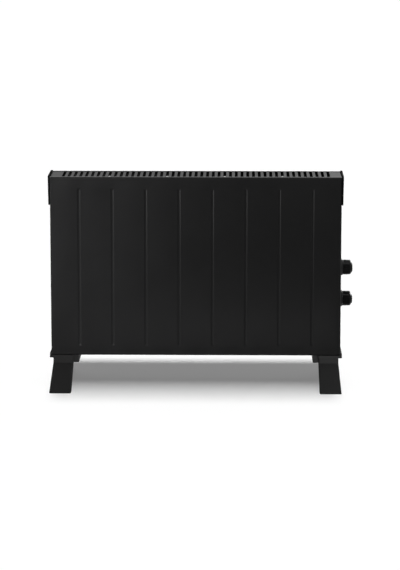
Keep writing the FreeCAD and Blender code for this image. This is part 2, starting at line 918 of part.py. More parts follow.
def grille_clips():
    """Spring clips under the front edge of the top grille, seen through the slots above them."""
    clips = []
    thick = dim("clip_sheet")
    front = metal - grille_half
    half = dim("clip_width") / 2
    step = slot_pitch * dim("clip_slots")
    for place in range(SIZES["clip_count"]):
        x = step * (place - (dim("clip_count") - 1) / 2)
        clips.append(fused([
            block((x - half, front, ceiling - thick), (x + half, front + dim("clip_length"), ceiling)),
            block((x - half, front, ceiling - dim("clip_drop")), (x + half, front + thick, ceiling)),
        ]))
    as_node(together(clips), "grille_clips")


# Controls

def control_screw_places():
    return (-dim("control_screw_spread"), dim("control_screw_spread"))


def dial(label, height):
    """A round plate with a sloping edge behind a knob, hollow over the heads of the screws."""
    ring = cone("x", (side_outer, NOTHING, NOTHING), dim("dial_diameter") / 2,
                dim("dial_face_diameter") / 2, dim("dial_thickness"))
    recess = rod("x", (side_outer, NOTHING, NOTHING), dim("dial_recess") / 2,
                 dim("dial_recess_depth"))
    bore = rod("x", (side_outer, NOTHING, NOTHING), dim("dial_bore") / 2, dim("dial_thickness"))
    as_node(cut(ring, [recess, bore]), label, height)


def knob(label, height):
    """A turned knob: plain collar, fluted grip and a bevelled end with a slot for the pointer."""
    body = new_body(label, height)
    rim = dim("knob_diameter") / 2
    grip = dim("knob_grip_diameter") / 2
    bevel = knob_end - dim("knob_chamfer")
    bore = dim("shaft_diameter") / 2 + dim("shaft_fit")
    bore_end = knob_base + dim("shaft_in_knob") + dim("seat_clearance")
    profile = sketch_on(body, "XZ_Plane")
    outline(profile, [
        (knob_base, bore), (knob_base, rim), (bevel, grip), (knob_end, dim("knob_end_diameter") / 2),
        (knob_end, NOTHING), (bore_end, NOTHING), (bore_end, bore),
    ])
    turned = body.newObject("PartDesign::Revolution", f"{body.Name}_turned")
    turned.Profile = profile
    turned.ReferenceAxis = (profile, ["H_Axis"])
    turned.Angle = 360.0
    round_edges(body, dim("knob_edge"), lambda e: runs_at(e, x=bevel) or runs_at(e, x=knob_end))
    flutes = sketch_on(body, "YZ_Plane", knob_end)
    circle(flutes, NOTHING, grip + dim("flute_offset"), dim("flute_diameter") / 2)
    flute = pocket(body, flutes, dim("knob_length") - dim("knob_collar"))
    around = body.newObject("PartDesign::PolarPattern", f"{body.Name}_around")
    around.Originals = [flute]
    around.Axis = (origin_part(body, "X_Axis"), [""])
    around.Angle = 360.0
    around.Refine = False
    bind(around, "Occurrences", dim("flute_count"))
    body.Tip = around
    mark = sketch_on(body, "YZ_Plane", knob_end)
    half = dim("pointer_width") / 2
    rectangle(mark, -half, NOTHING, half, dim("pointer_length"))
    pocket(body, mark, dim("pointer_depth"))


def pointer(label, height):
    half = dim("pointer_width") / 2
    inlay = block((knob_end - dim("pointer_depth"), -half, NOTHING),
                  (knob_end, half, dim("pointer_length")))
    as_node(together([inlay]), label, height)


def shaft(label, height):
    start = side_inner - dim("shaft_in_body")
    end = knob_base + dim("shaft_in_knob")
    bar = rod("x", (start, NOTHING, NOTHING), dim("shaft_diameter") / 2, end - start)
    as_node(together([bar]), label, height)


def control_body(label, height, length, width, tall):
    """The switch or thermostat housing behind the end plate, with the bearing of its shaft."""
    low = (side_inner - length, width / -2, tall / -2)
    housing = block(low, (side_inner, width / 2, tall / 2))
    deep = dim("shaft_in_body") + dim("seat_clearance")
    bearing = rod("x", (side_inner - deep, NOTHING, NOTHING),
                  dim("shaft_diameter") / 2 + dim("shaft_fit"), deep)
    reach = dim("control_screw_length") - metal
    threads = [
        rod("x", (side_inner - reach, y, NOTHING),
            dim("control_screw_diameter") / 2 + dim("thread_fit"), reach)
        for y in control_screw_places()
    ]
    as_node(cut(housing, [bearing] + threads), label, height)


def controls():
    dial("thermostat_dial", thermostat_z)
    dial("selector_dial", selector_z)
    control_body("thermostat_body", thermostat_z, dim("thermostat_length"),
                 dim("thermostat_width"), dim("thermostat_tall"))
    control_body("selector_body", selector_z, dim("selector_length"),
                 dim("selector_width"), dim("selector_tall"))
    for name, height in (("thermostat", thermostat_z), ("selector", selector_z)):
        knob(f"{name}_knob", height)
        pointer(f"{name}_pointer", height)
        shaft(f"{name}_shaft", height)


# Heating elements and what carries them

def element_bases():
    low = case_base + dim("element_height")
    return low, low + dim("element_spacing")


def leg_heights():
    for base in element_bases():
        yield base - dim("element_legs") / 2
        yield base + dim("element_legs") / 2


def heating_element(label, height):
    """A hairpin tube with square fins along its two legs."""
    body = new_body(label, height)
    half = dim("element_legs") / 2
    bend = half - half_width + dim("element_left_inset")
    tube = dim("element_tube") / 2
    for level in (-half, half):
        section = sketch_on(body, "YZ_Plane", bend)
        circle(section, NOTHING, level, tube)
        pad(body, section, element_end - bend)
    ring = sketch_on(body, "YZ_Plane", bend)
    circle(ring, NOTHING, half, tube)
    turned = body.newObject("PartDesign::Revolution", f"{body.Name}_bend")
    turned.Profile = ring
    turned.ReferenceAxis = (ring, ["H_Axis"])
    turned.Angle = 180.0
    turned.Reversed = True
    fins = sketch_on(body, "YZ_Plane", dim("fin_margin") - bracket_x)
    rectangle(fins, dim("fin_depth") / -2, dim("fin_tall") / -2, dim("fin_depth") / 2, dim("fin_tall") / 2)
    fin = pad(body, fins, dim("fin_sheet"))
    row(body, [fin], "X_Axis", fin_pitch, dim("fin_count"))


def carrier_plate(label, place, half, high):
    """An upright plate on the intake grille, drilled for the bushes of the element legs."""
    end = place + dim("plate_sheet")
    upright = block((place, -half, floor_top), (end, half, high))
    seat = block((end, -half, floor_top), (end + dim("plate_flange"), half, floor_top + dim("plate_sheet")))
    holes = [
        rod("x", (place, NOTHING, z), dim("bush_diameter") / 2 + dim("bush_fit"), dim("plate_sheet"))
        for z in leg_heights()
    ]
    as_node(cut(fused([upright, seat]), holes), label)


def heating():
    low, high = element_bases()
    heating_element("heating_element_lower", low)
    heating_element("heating_element_upper", high)
    carrier_plate("element_bracket", -bracket_x, grille_half - dim("bracket_gap"),
                  floor_top + dim("bracket_tall"))
    carrier_plate("heat_shield", shield_x, grille_half - dim("shield_gap"),
                  ceiling - dim("shield_top_gap"))
    bushes = []
    for place in (-bracket_x, shield_x):
        start = place + dim("plate_sheet") / 2 - dim("bush_length") / 2
        for z in leg_heights():
            collar = rod("x", (start, NOTHING, z), dim("bush_diameter") / 2, dim("bush_length"))
            bore = rod("x", (start, NOTHING, z), dim("element_tube") / 2 + dim("bush_fit"),
                       dim("bush_length"))
            bushes.append(cut(collar, [bore]))
    as_node(together(bushes), "element_bushes")
    studs = []
    for z in leg_heights():
        start = (element_end, NOTHING, z)
        studs.append(fused([
            rod("x", start, dim("stud_diameter") / 2, dim("stud_length")),
            rod("x", start, dim("nut_diameter") / 2, dim("nut_length")),
        ]))
    as_node(together(studs), "element_terminals")


# Electrical pieces

def electrics():
    cutout = rod("x", (shield_face, NOTHING, case_base + dim("cutout_height")),
                 dim("cutout_diameter") / 2, dim("cutout_length"))
    as_node(together([cutout]), "thermal_cutout")
    half = dim("block_length") / 2
    terminal = block((block_x - half, dim("block_width") / -2, floor_top),
                     (block_x + half, dim("block_width") / 2, floor_top + dim("block_tall")))
    as_node(together([terminal]), "terminal_block")
    start = half_depth - metal - dim("gland_inside")
    whole = dim("gland_inside") + metal + dim("gland_outside")
    gland = fused([
        rod("y", (gland_x, start, gland_z), dim("gland_barrel") / 2, whole),
        rod("y", (gland_x, start, gland_z), dim("gland_flange") / 2, dim("gland_inside")),
        rod("y", (gland_x, half_depth, gland_z), dim("gland_flange") / 2, dim("gland_outside")),
    ])
    bore = rod("y", (gland_x, start, gland_z), dim("gland_bore") / 2, whole)
    as_node(cut(gland, [bore]), "cable_gland")


def wire_run(points):
    """A wire of straight runs joined by tangent arcs, held at both of its ends."""
    corners = [Vector(*(as_size(amount).value for amount in place)) for place in points]
    reach = dim("wire_bend").value
    edges = []
    start = corners[0]
    for before, corner, after in zip(corners, corners[1:], corners[2:]):
        back = (before - corner).normalize()
        ahead = (after - corner).normalize()
        inward = (back + ahead).normalize()
        centre = corner + inward * (reach / math.cos(back.getAngle(ahead) / 2))
        arc_start = corner + back * reach
        arc_end = corner + ahead * reach
        middle = centre - inward * (centre - arc_start).Length
        edges.append(Part.LineSegment(start, arc_start).toShape())
        edges.append(Part.Arc(arc_start, middle, arc_end).toShape())
        start = arc_end
    edges.append(Part.LineSegment(start, corners[-1]).toShape())
    radius = dim("wire_diameter").value / 2
    section = Part.Wire([Part.Circle(corners[0], corners[1] - corners[0], radius).toShape()])
    return Part.Wire(edges).makePipeShell([section], True, False)


def wires(label, routes):
    loom = doc.addObject("Part::Feature", label)
    loom.Shape = Part.makeCompound([wire_run(points) for points in routes])
    as_node(loom, label)


def wiring():
    """Wires from the terminal block through cut-out, thermostat and selector to the elements."""
    middle = NOTHING
    step = dim("wire_step")
    block_top = floor_top + dim("block_tall")
    cutout_face = shield_face + dim("cutout_length")
    cutout_z = case_base + dim("cutout_height")
    thermostat_back = side_inner - dim("thermostat_length")
    selector_back = side_inner - dim("selector_length")
    stud_end = element_end + dim("stud_length")
    lower_out, lower_in, upper_in, upper_out = leg_heights()
    live = half_width - dim("live_lane")
    lane = half_width - dim("element_lane")
    wires("wire_live", [
        [(live, -step, block_top), (live, -step, cutout_z), (cutout_face, -step, cutout_z)],
    ])
    first = half_width - dim("thermostat_lane")
    second = half_width - dim("selector_lane")
    down = thermostat_z - step
    wires("wire_switched", [
        [(cutout_face, step, cutout_z), (first, step, cutout_z), (first, step, thermostat_z + step),
         (thermostat_back, step, thermostat_z + step)],
        [(thermostat_back, -step, down), (second, -step, down), (second, -step, selector_z + step),
         (selector_back, -step, selector_z + step)],
        [(selector_back, middle, lower_in), (stud_end, middle, lower_in)],
        [(selector_back, middle, selector_z + 2 * step), (lane, middle, selector_z + 2 * step),
         (lane, middle, upper_in), (stud_end, middle, upper_in)],
    ])
    side = 2 * step
    wires("wire_neutral", [
        [(lane, middle, block_top), (lane, middle, lower_out), (stud_end, middle, lower_out)],
        [(live, side, block_top), (live, side, upper_out - 2 * side), (live, middle, upper_out),
         (stud_end, middle, upper_out)],
    ])
    earth = half_width - dim("earth_lane")
    earth_z = case_base + dim("earth_height")
    wires("wire_earth", [
        [(earth, -step, block_top), (earth, -step, earth_z), (shield_face, -step, earth_z)],
    ])


front_panel()
rear_panel()
top_grille()
bottom_grille()
side_panel("side_panel_left", -1)
side_panel("side_panel_right", 1)
end_cap("end_cap_left", -1)
end_cap("end_cap_right", 1)
foot("foot_left", -1)
foot("foot_right", 1)
foot_pads()
screws()
grille_clips()
controls()
heating()
electrics()
wiring()

doc.recompute()
for item in doc.Objects:
    if "Invalid" in item.State or "Error" in item.State:
        raise RuntimeError(f"{item.Label} failed: {item.State}")
for piece in nodes:
    if piece.Shape.isNull() or not piece.Shape.isValid():
        raise RuntimeError(f"{piece.Label} has no valid shape")

os.makedirs("parts", exist_ok=True)
for piece in nodes:
    piece.Shape.exportStep(os.path.join("parts", f"{piece.Label}.step"))
    box = piece.Shape.BoundBox
    print(f"{piece.Label}: {len(piece.Shape.Solids)} solids, {piece.Shape.Volume:.0f} mm3, "
          f"x {box.XMin:.2f} {box.XMax:.2f}, y {box.YMin:.2f} {box.YMax:.2f}, "
          f"z {box.ZMin:.2f} {box.ZMax:.2f}")
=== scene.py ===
# %% [markdown]
# # A free-standing convector heater
# The real heater is a flat box of folded sheet steel in satin black, on two moulded plastic feet.
# Plastic caps close its upper ends, and two fluted knobs sit on the right-hand end plate.
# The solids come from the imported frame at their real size. This lesson gives them their finish:
# merged copies with soft edges where light catches, a pressed front with a slight crown,
# printed marks and proper screw heads, and a node material for every piece.

# %% Load the frame
import json
import math

import bmesh
import bpy
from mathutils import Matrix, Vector

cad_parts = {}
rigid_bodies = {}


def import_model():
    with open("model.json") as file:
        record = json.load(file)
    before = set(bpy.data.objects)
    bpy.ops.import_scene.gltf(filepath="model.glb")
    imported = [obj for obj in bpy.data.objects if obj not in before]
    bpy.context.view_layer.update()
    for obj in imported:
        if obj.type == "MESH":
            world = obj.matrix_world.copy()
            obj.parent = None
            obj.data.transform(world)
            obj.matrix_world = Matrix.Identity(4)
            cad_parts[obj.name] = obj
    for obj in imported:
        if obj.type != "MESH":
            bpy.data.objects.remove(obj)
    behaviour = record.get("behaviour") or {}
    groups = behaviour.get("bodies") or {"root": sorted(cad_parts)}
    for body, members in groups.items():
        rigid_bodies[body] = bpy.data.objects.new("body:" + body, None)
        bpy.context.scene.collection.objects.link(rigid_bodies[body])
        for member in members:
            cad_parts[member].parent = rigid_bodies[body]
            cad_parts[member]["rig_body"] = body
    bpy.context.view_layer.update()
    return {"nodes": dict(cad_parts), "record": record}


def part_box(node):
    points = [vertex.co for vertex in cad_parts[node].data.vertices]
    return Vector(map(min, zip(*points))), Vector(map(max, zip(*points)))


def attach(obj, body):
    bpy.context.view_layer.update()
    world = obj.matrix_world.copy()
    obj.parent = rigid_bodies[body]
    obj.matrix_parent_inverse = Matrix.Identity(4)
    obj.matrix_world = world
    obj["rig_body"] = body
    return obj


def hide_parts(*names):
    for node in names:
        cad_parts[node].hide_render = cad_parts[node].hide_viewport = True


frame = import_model()
nodes = frame["nodes"]
slot_of = {row["node"]: row["material_slot"] for row in frame["record"]["subparts"]}
MM = 0.001
for plain in list(bpy.data.materials):
    bpy.data.materials.remove(plain)

# %% [markdown]
# ## Camera
# The photograph was taken from far away with a long lens, a little above the heater and looking
# slightly down. Distance, tilt and lens were worked out from the edges of the casing, so they are
# written as plain numbers. The lens is for the long side of the picture, which is its height.

# %% Camera
CAMERA_PLACE = Vector((0.0861, -5.8354, 1.3133))
LOOK_DOWN = math.radians(10.474)
LOOK_LEFT = math.radians(0.8725)
LENS = 158.57
SENSOR = 36.0
FAR_CLIP = 100.0

look = Vector((
    -math.sin(LOOK_LEFT) * math.cos(LOOK_DOWN),
    math.cos(LOOK_LEFT) * math.cos(LOOK_DOWN),
    -math.sin(LOOK_DOWN),
))
bpy.ops.object.camera_add(location=CAMERA_PLACE, rotation=look.to_track_quat("-Z", "Y").to_euler())
camera = bpy.context.object
camera.data.sensor_width = SENSOR
camera.data.lens = LENS
camera.data.clip_end = FAR_CLIP
bpy.context.scene.camera = camera
print("camera:", [round(v, 3) for v in camera.location], "lens", camera.data.lens)

# %% [markdown]
# ## Working by hand
# Every new shape below is made with the tools that a person would click: add, select, bevel,
# bisect, extrude. The operators act on what is selected, so one helper selects a single object
# and another selects the parts of its mesh that pass a test of their place.

# %% Selecting and copying
def pick(piece):
    """Selects one object alone and makes it the active one."""
    bpy.ops.object.select_all(action="DESELECT")
    piece.select_set(True)
    bpy.context.view_layer.objects.active = piece


def choose(piece, kind, test):
    """In edit mode, selects the vertices, edges or faces that pass the test."""
    bpy.ops.mesh.select_mode(type=kind)
    bpy.ops.mesh.select_all(action="DESELECT")
    mesh = bmesh.from_edit_mesh(piece.data)
    items = {"VERT": mesh.verts, "EDGE": mesh.edges, "FACE": mesh.faces}[kind]
    chosen = [item for item in items if test(item)]
    for item in chosen:
        item.select_set(True)
    mesh.select_flush_mode()
    bmesh.update_edit_mesh(piece.data)
    return len(chosen)


def middle(item):
    """The middle of an edge or a face."""
    total = Vector()
    for corner in item.verts:
        total += corner.co
    return total / len(item.verts)


def copy_of(piece):
    """A copy of an object with a mesh of its own."""
    again = piece.copy()
    again.data = piece.data.copy()
    bpy.context.scene.collection.objects.link(again)
    return again


def joined(pieces):
    """Joins several objects into the first one."""
    pick(pieces[0])
    for piece in pieces:
        piece.select_set(True)
    if len(pieces) > 1:
        bpy.ops.object.join()
    return bpy.context.object


# %% [markdown]
# ## Copies that can be shaped
# A CAD node comes as loose triangles and is never changed itself. A copy whose triangles are
# merged into whole faces can be bevelled cleanly. Once finished it takes the node's place: it
# rides on the node's body, and it is dressed in the finish of the node's slot or a copy of it.

# %% Merged copies of the solids
SAME_POINT = 0.001 * MM
SAME_PLANE = math.radians(0.5)
SMOOTH_UP_TO = math.radians(40)


def body_of(node):
    return nodes[node]["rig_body"]


def merged_copy(node):
    """A copy of a CAD node with its loose triangles merged into whole faces."""
    piece = bpy.data.objects.new(f"{node}_skin", nodes[node].data.copy())
    bpy.context.scene.collection.objects.link(piece)
    pick(piece)
    if piece.data.has_custom_normals:
        bpy.ops.mesh.customdata_custom_splitnormals_clear()
    bpy.ops.object.mode_set(mode="EDIT")
    bpy.ops.mesh.select_all(action="SELECT")
    bpy.ops.mesh.remove_doubles(threshold=SAME_POINT)
    bpy.ops.mesh.dissolve_limited(angle_limit=SAME_PLANE)
    bpy.ops.object.mode_set(mode="OBJECT")
    return piece


def apply_modifier(piece, name, kind, **settings):
    pick(piece)
    modifier = piece.modifiers.new(name, kind)
    for setting, value in settings.items():
        setattr(modifier, setting, value)
    bpy.ops.object.modifier_apply(modifier=modifier.name)


def smooth(piece):
    """Shades rounded stretches smoothly; larger faces count for more, so flat sheet looks flat."""
    pick(piece)
    bpy.ops.object.shade_smooth_by_angle(angle=SMOOTH_UP_TO)
    apply_modifier(piece, "even_shading", "WEIGHTED_NORMAL", keep_sharp=True)


def soft_edges(piece, width, sharper_than, segments=2):
    """Bevels the edges that turn more sharply than an angle; the faces between them stay flat."""
    apply_modifier(
        piece, "soft_edges", "BEVEL", width=width, segments=segments, limit_method="ANGLE",
        angle_limit=math.radians(sharper_than), use_clamp_overlap=True)
    smooth(piece)


def stand_for(piece, node):
    """Lets a finished piece ride in the place of its CAD node."""
    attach(piece, body_of(node))
    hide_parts(node)
    print(piece.name, "stands for", node, "with", len(piece.data.polygons), "faces")
    return piece


# %% [markdown]
# ## The pressed front
# The front is one sheet with eight grooves rolled into it. Pressing leaves two traces that a
# sharp solid lacks: the lips of each groove are rounded, and the field between two grooves bulges
# a little, so that it darkens from left to right under a light from the left. The lips are
# bevelled by hand. For the bulge the sheet is cut into columns and rows, each point gets a
# weight, and a Displace modifier pushes the points forward by that weight.

# %% Groove lips
CASE_LEFT, CASE_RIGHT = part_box("front_panel")[0].x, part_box("front_panel")[1].x
CASE_MIDDLE = (CASE_LEFT + CASE_RIGHT) / 2
FRONT_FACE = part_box("front_panel")[0].y
GROOVE_COUNT = 8
GROOVE_PITCH = 77.9 * MM
GROOVES = [CASE_MIDDLE + GROOVE_PITCH * (place - (GROOVE_COUNT - 1) / 2) for place in range(GROOVE_COUNT)]
GROOVE_HALF = 4.0 * MM
GROOVE_LOW, GROOVE_HIGH = 99.0 * MM, 472.0 * MM
GROOVE_REACH = 2.0 * MM
LIP_ROOM = 0.2 * MM
LIP_TURN = math.radians(12)
LIP_ROUND = 0.9 * MM

front = merged_copy("front_panel")
print("front before shaping:", len(front.data.polygons), "faces")


def in_groove(spot):
    near = min(abs(spot.x - x) for x in GROOVES) < GROOVE_HALF + LIP_ROOM
    tall = GROOVE_LOW - LIP_ROOM < spot.z < GROOVE_HIGH + LIP_ROOM
    return near and tall and spot.y < FRONT_FACE + GROOVE_REACH


def is_lip(edge):
    inside = all(in_groove(corner.co) for corner in edge.verts)
    return inside and len(edge.link_faces) == 2 and edge.calc_face_angle(0) > LIP_TURN


bpy.ops.object.mode_set(mode="EDIT")
lips = choose(front, "EDGE", is_lip)
bpy.ops.mesh.bevel(offset=LIP_ROUND, segments=3, affect="EDGES", clamp_overlap=True)
bpy.ops.object.mode_set(mode="OBJECT")
print("groove lips rounded:", lips)

# %% Columns and rows for the crown
CASE_MARGIN = 3.0 * MM
LIP_MARGIN = 1.2 * MM
END_MARGIN = 1.5 * MM
FIELD_EDGES = (
    [CASE_LEFT + CASE_MARGIN]
    + [x + side * (GROOVE_HALF + LIP_MARGIN) for x in GROOVES for side in (-1, 1)]
    + [CASE_RIGHT - CASE_MARGIN]
)
FIELDS = list(zip(FIELD_EDGES[0::2], FIELD_EDGES[1::2]))
COLUMNS = 8
CROWN_LOW, CROWN_HIGH = 80.0 * MM, 495.0 * MM
ROWS = [
    CROWN_LOW, 85.0 * MM, 91.0 * MM, GROOVE_LOW - END_MARGIN,
    GROOVE_HIGH + END_MARGIN, 479.0 * MM, 487.0 * MM, CROWN_HIGH,
]

bpy.ops.object.mode_set(mode="EDIT")
for left, right in FIELDS:
    for column in range(COLUMNS + 1):
        bpy.ops.mesh.select_all(action="SELECT")
        x = left + (right - left) * column / COLUMNS
        bpy.ops.mesh.bisect(plane_co=(x, 0, 0), plane_no=(1, 0, 0))
for z in ROWS:
    bpy.ops.mesh.select_all(action="SELECT")
    bpy.ops.mesh.bisect(plane_co=(0, 0, z), plane_no=(0, 0, 1))
bpy.ops.object.mode_set(mode="OBJECT")
print("front cut into", len(FIELDS), "fields,", len(front.data.polygons), "faces")

# %% Crown
CROWN = 0.9 * MM
SHEET_REACH = 1.5 * MM
FRONT_SMOOTH_UP_TO = math.radians(35)


def swell(spot):
    """How far a point of the sheet bulges, from 0 at a groove to 1 in the middle of a field."""
    if spot.y > FRONT_FACE + SHEET_REACH:
        return 0.0
    for left, right in FIELDS:
        if left < spot.x < right:
            across = 2 * (spot.x - left) / (right - left) - 1
            up = min(
                (spot.z - CROWN_LOW) / (GROOVE_LOW - CROWN_LOW),
                (CROWN_HIGH - spot.z) / (CROWN_HIGH - GROOVE_HIGH),
                1.0)
            up = max(up, 0.0)
            return (1 - across * across) * up * up * (3 - 2 * up)
    return 0.0


weights = front.vertex_groups.new(name="crown")
for corner in front.data.vertices:
    weights.add([corner.index], swell(corner.co), "REPLACE")
apply_modifier(
    front, "crown", "DISPLACE", direction="Y", strength=-CROWN, mid_level=0.0, vertex_group="crown")
front.vertex_groups.clear()
bpy.ops.object.shade_smooth_by_angle(angle=FRONT_SMOOTH_UP_TO)
skins = {"front_panel": stand_for(front, "front_panel")}

# %% [markdown]
# ## Soft edges on the mouldings
# A moulded edge is never a knife edge: the radius in the tool shows as a thin line of light.
# Caps, feet, knobs and dials are merged copies whose sharp edges are bevelled by half a
# millimetre or so. Cut and folded sheet has a smaller radius, a few tenths under its paint.
# Faces that the solid already rounds are left as they are.

# %% Mouldings and sheet edges
# For each node, the width of the bevel in millimetres and the turn in degrees that counts as sharp.
SOFT_EDGES = {
    "end_cap_left": (0.5, 40), "end_cap_right": (0.5, 40),
    "foot_left": (0.7, 30), "foot_right": (0.7, 30),
    "thermostat_knob": (0.2, 40), "selector_knob": (0.2, 40),
    "thermostat_dial": (0.5, 40), "selector_dial": (0.5, 40),
    "rear_panel": (0.3, 40), "top_grille": (0.25, 40), "bottom_grille": (0.25, 40),
    "side_panel_left": (0.3, 40), "side_panel_right": (0.3, 40),
    "cable_gland": (0.4, 40), "foot_pads": (0.5, 40), "grille_clips": (0.2, 40),
}
for node, (width, sharper_than) in SOFT_EDGES.items():
    piece = merged_copy(node)
    soft_edges(piece, width * MM, sharper_than)
    skins[node] = stand_for(piece, node)

# %% [markdown]
# ## Screw heads
# The screws that close the rear and hold the feet are pan heads with a cross recess. The solids
# have plain round heads, so each head gets a domed rim from a wide bevel. The cross is modelled
# once from a cube, copied to the middle of every head, and cut out with a Boolean modifier.

# %% A cross to cut with
CROSS_LONG, CROSS_WIDE, CROSS_DEEP = 3.8 * MM, 0.95 * MM, 0.9 * MM
CROSS_CORE = 0.6 * CROSS_WIDE


def cross_cutter(out):
    """A plus-shaped block round the origin whose depth runs along the axis that the head faces."""
    bpy.ops.object.select_all(action="DESELECT")
    bpy.ops.mesh.primitive_cube_add(size=CROSS_WIDE)
    cutter = bpy.context.object
    bpy.ops.object.mode_set(mode="EDIT")
    sides = [axis for axis in range(3) if abs(out[axis]) < 0.5]
    for axis in sides:
        for way in (-1, 1):
            choose(cutter, "FACE", lambda f: (
                way * f.normal[axis] > 0.9 and middle(f).length < CROSS_CORE))
            shift = [0.0, 0.0, 0.0]
            shift[axis] = way * (CROSS_LONG - CROSS_WIDE) / 2
            bpy.ops.mesh.extrude_region_move(TRANSFORM_OT_translate={"value": shift})
    bpy.ops.mesh.select_all(action="SELECT")
    depth = [2.0 * CROSS_DEEP / CROSS_WIDE if abs(part) > 0.5 else 1.0 for part in out]
    bpy.ops.transform.resize(value=depth, center_override=(0.0, 0.0, 0.0))
    bpy.ops.object.mode_set(mode="OBJECT")
    return cutter


# %% Pan heads with a cross recess
DOME = 0.8 * MM
DOME_TURN = 40
TOP_ROOM = 0.1 * MM


def pan_heads(node, out):
    """Domes the heads of a set of screws and cuts a cross into each; out is where they face."""
    out = Vector(out)
    screws = merged_copy(node)
    far = max(corner.co.dot(out) for corner in screws.data.vertices)
    tops = [
        face for face in screws.data.polygons
        if face.normal.dot(out) > 0.99 and face.center.dot(out) > far - TOP_ROOM]
    places = [face.center.copy() for face in tops]
    soft_edges(screws, DOME, DOME_TURN, segments=3)
    first = cross_cutter(out)
    cutters = []
    for place in places:
        cutter = copy_of(first)
        cutter.location = place
        cutters.append(cutter)
    bpy.data.objects.remove(first)
    crosses = joined(cutters)
    bpy.ops.object.transform_apply(location=True, rotation=True, scale=True)
    apply_modifier(screws, "crosses", "BOOLEAN", operation="DIFFERENCE", object=crosses, solver="EXACT")
    bpy.data.objects.remove(crosses)
    smooth(screws)
    print(node, "heads:", len(places), "facing", tuple(out))
    return stand_for(screws, node)


skins["case_screws"] = pan_heads("case_screws", (0, 1, 0))
skins["foot_screws"] = pan_heads("foot_screws", (0, 0, -1))

# %% [markdown]
# ## Printed scale round the knobs
# Behind each knob the end plate carries a white screen print: a stroke for every setting, plain
# numbers at the selector, and at the thermostat a wedge that swells as the heat goes up. Screen
# ink stands a few hundredths of a millimetre proud, so each mark is a thin solid on the plate.
# One stroke is made from a cube with rounded ends and copied round the axis of its knob.

# %% Strokes
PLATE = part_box("side_panel_right")[1].x
INK = 0.06 * MM
STROKE_NEAR, STROKE_FAR = 22.6 * MM, 25.8 * MM
STROKE_WIDE = 1.0 * MM
STROKE_ROUND = 0.48 * STROKE_WIDE
THERMOSTAT_TURN, THERMOSTAT_STEP = 270, 30
SELECTOR_TURN, SELECTOR_STEP = 180, 60
AXES = {}
for control in ("thermostat", "selector"):
    near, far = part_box(f"{control}_dial")
    AXES[control] = (near + far) / 2


def turn_about_knob(axis, angle):
    """Turns the selection clockwise as seen from the knobs' side."""
    bpy.ops.transform.rotate(
        value=angle, orient_axis="X", orient_type="GLOBAL", center_override=(axis.x, axis.y, axis.z))


def stroke(axis):
    bpy.ops.object.select_all(action="DESELECT")
    bpy.ops.mesh.primitive_cube_add(size=1.0)
    piece = bpy.context.object
    bpy.ops.object.mode_set(mode="EDIT")
    bpy.ops.mesh.select_all(action="SELECT")
    bpy.ops.transform.resize(
        value=(INK, STROKE_WIDE, STROKE_FAR - STROKE_NEAR), center_override=(0, 0, 0))
    choose(piece, "EDGE", lambda e: abs((e.verts[0].co - e.verts[1].co).x) > 0.5 * INK)
    bpy.ops.mesh.bevel(offset=STROKE_ROUND, segments=4, affect="EDGES")
    bpy.ops.mesh.select_all(action="SELECT")
    ring = (STROKE_NEAR + STROKE_FAR) / 2
    bpy.ops.transform.translate(value=(PLATE + INK / 2, axis.y, axis.z + ring))
    bpy.ops.object.mode_set(mode="OBJECT")
    return piece


def strokes(axis, angles):
    first = stroke(axis)
    made = [first]
    for angle in angles[1:]:
        again = copy_of(first)
        pick(again)
        bpy.ops.object.mode_set(mode="EDIT")
        bpy.ops.mesh.select_all(action="SELECT")
        turn_about_knob(axis, math.radians(angle))
        bpy.ops.object.mode_set(mode="OBJECT")
        made.append(again)
    return made


def printed(name, marks):
    """Joins some marks into one print that rides on the end plate's body."""
    whole = joined(marks)
    whole.name = name
    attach(whole, body_of("side_panel_right"))
    print(name, "from", len(marks), "marks,", len(whole.data.polygons), "faces")
    return whole


thermostat_angles = range(0, THERMOSTAT_TURN + 1, THERMOSTAT_STEP)
selector_angles = range(0, SELECTOR_TURN + 1, SELECTOR_STEP)
prints = [
    printed("thermostat_strokes", strokes(AXES["thermostat"], thermostat_angles)),
    printed("selector_strokes", strokes(AXES["selector"], selector_angles)),
]

# %% Wedge
WEDGE_RING = 29.0 * MM
WEDGE_START = 36
WEDGE_THIN, WEDGE_THICK = 0.5 * MM, 3.4 * MM
WEDGE_STEPS = 40


